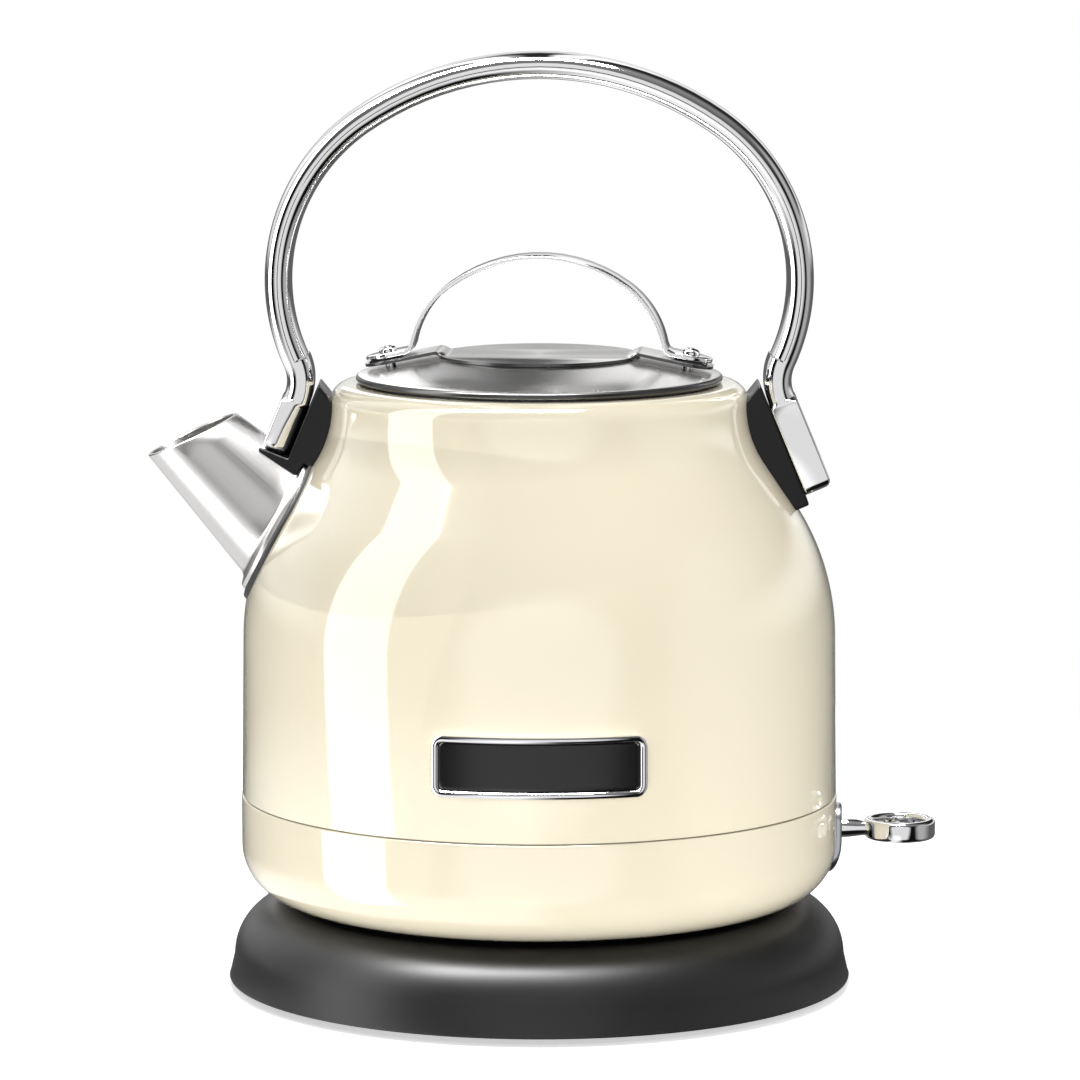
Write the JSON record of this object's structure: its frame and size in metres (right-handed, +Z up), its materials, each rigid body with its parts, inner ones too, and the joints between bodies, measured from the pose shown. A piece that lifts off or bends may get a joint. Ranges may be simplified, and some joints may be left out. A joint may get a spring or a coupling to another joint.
{
  "type": "electric kettle",
  "caption": "Cordless electric kettle with a domed enamelled body, fixed hoop handle, lift-off lid with a strap, conical spout, ring lever and round power base.",
  "frame": {"origin": "centre of the power base on the surface it stands on", "axes": "+Z up along the body's axis, -X towards the spout, +X towards the switch lever, -Y towards the badge"},
  "size_m": [0.2052, 0.1626, 0.2434],
  "materials": {
    "enamel": "glossy cream enamel",
    "base_plastic": "satin charcoal",
    "black_plastic": "glossy black",
    "control_plastic": "moulded black",
    "glide_plastic": "waxy natural plastic",
    "filter_plastic": "moulded dark grey",
    "brushed_steel": "turned and brushed",
    "element_steel": "drawn steel",
    "chrome": "mirror polished",
    "satin_plate": "satin nickel",
    "aluminium": "milled",
    "brass": "rolled",
    "black_rubber": "matte",
    "silicone": "translucent grey silicone"
  },
  "bodies": {
    "base": {"base_shell": "base_plastic", "base_plate": "base_plastic", "base_feet": "black_rubber", "base_screws": "element_steel", "base_connector": "control_plastic", "socket_contacts": "brass", "cord_bush": "black_rubber"},
    "glide": {"glide_ring": "glide_plastic"},
    "kettle": {"body_shell": "enamel", "lower_housing": "enamel", "bottom_cover": "control_plastic", "cover_screws": "element_steel", "vessel_base": "brushed_steel", "heat_diffuser": "aluminium", "heating_element": "element_steel", "terminal_strips": "brass", "control_housing": "control_plastic", "connector_pins": "brass", "bimetal_discs": "brass", "trip_spring": "element_steel", "steam_tube": "control_plastic", "steam_grommet": "black_rubber", "steam_switch": "control_plastic", "steam_bimetal": "brass", "lever_pin": "element_steel", "lever_bracket": "element_steel", "lever_plate": "satin_plate", "spout": "brushed_steel", "spout_gasket": "black_rubber", "handle_outer": "chrome", "handle_inner": "chrome", "front_mount": "black_plastic", "rear_mount": "black_plastic", "handle_screws": "element_steel", "handle_seals": "black_rubber", "badge_frame": "chrome", "badge_plate": "black_plastic"},
    "lever": {"switch_lever": "chrome"},
    "trip": {"trip_lever": "control_plastic"},
    "filter": {"filter_frame": "filter_plastic", "filter_mesh": "brushed_steel"},
    "lid": {"lid_shell": "brushed_steel", "lid_top_plate": "brushed_steel", "lid_pads": "black_plastic", "lid_strap": "chrome", "lid_screws": "chrome", "lid_plug": "brushed_steel", "lid_seal": "silicone"}
  },
  "joints": [
    {"name": "kettle_swivel", "type": "hinge", "parent": "base", "child": "glide", "pos_m": [0, 0, 0.022], "axis": [0, 0, 1], "continuous": true},
    {"name": "kettle_lift", "type": "slide", "parent": "glide", "child": "kettle", "axis": [0, 0, 1], "range_m": [0, 0.06]},
    {"name": "lid_lift", "type": "slide", "parent": "kettle", "child": "lid", "axis": [0, 0, 1], "range_m": [0, 0.036]},
    {"name": "lever_tilt", "type": "hinge", "parent": "kettle", "child": "lever", "pos_m": [0.0577, 0, 0.0405], "axis": [0, 1, 0], "range_deg": [0, 12], "stiffness_Nm_per_rad": 0.02, "springref_deg": -20.05},
    {"name": "trip_tilt", "type": "hinge", "parent": "kettle", "child": "trip", "pos_m": [0.0385, 0, 0.0369], "axis": [0, 1, 0], "range_deg": [-8, 0], "deforming": ["trip_spring"]},
    {"name": "filter_pull", "type": "slide", "parent": "kettle", "child": "filter", "axis": [0.7212, 0, -0.6928], "range_m": [0, 0.02]}
  ],
  "couplings": [
    {"joint": "trip_tilt", "follows": "lever_tilt", "ratio": -0.62}
  ]
}
